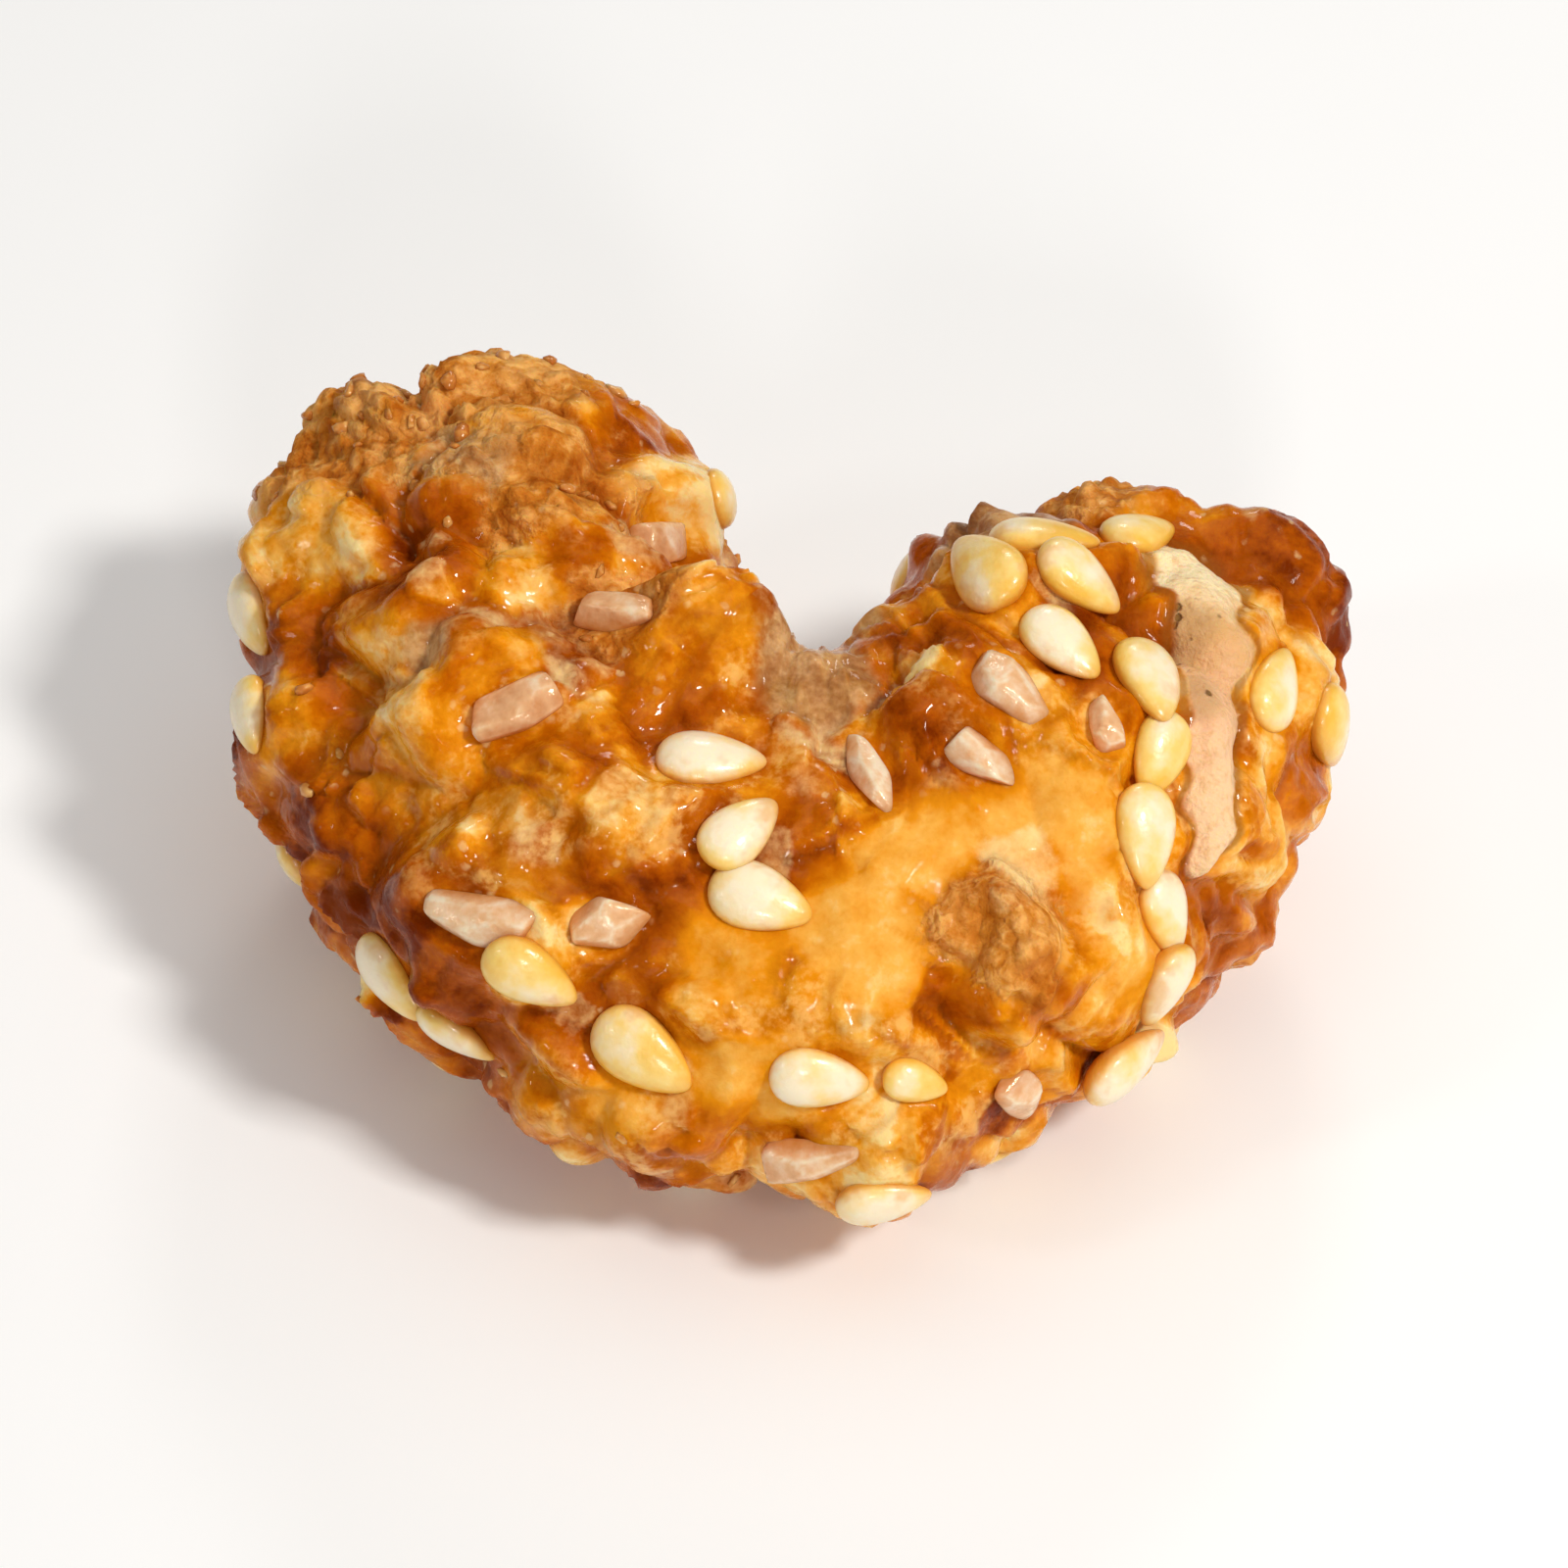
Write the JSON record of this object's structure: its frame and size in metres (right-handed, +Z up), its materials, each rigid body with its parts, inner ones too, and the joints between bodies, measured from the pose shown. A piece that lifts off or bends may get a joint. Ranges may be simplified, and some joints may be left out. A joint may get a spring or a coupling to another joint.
{
  "type": "caramelized cashew",
  "caption": "Crescent-shaped cashew under a lumpy, glossy coat of set caramel, stuck with toasted sesame seeds and coarse sugar crystals; a sweet snack eaten by hand.",
  "frame": {"origin": "middle of the nut's box, on the floor that it lies on", "axes": "+Z up out of the upper flat side of the crescent, +Y out of the crescent's hollow, +X from the left lobe to the right lobe as the picture shows them"},
  "size_m": [0.0294, 0.024, 0.0136],
  "materials": {
    "caramel": "glossy, translucent amber with duller sugared patches",
    "sesame": "satin, cream to light golden, toasted",
    "sugar": "translucent, glassy faces with rounded edges"
  },
  "bodies": {
    "root": {"caramelized_cashew": "caramel"}
  },
  "joints": []
}
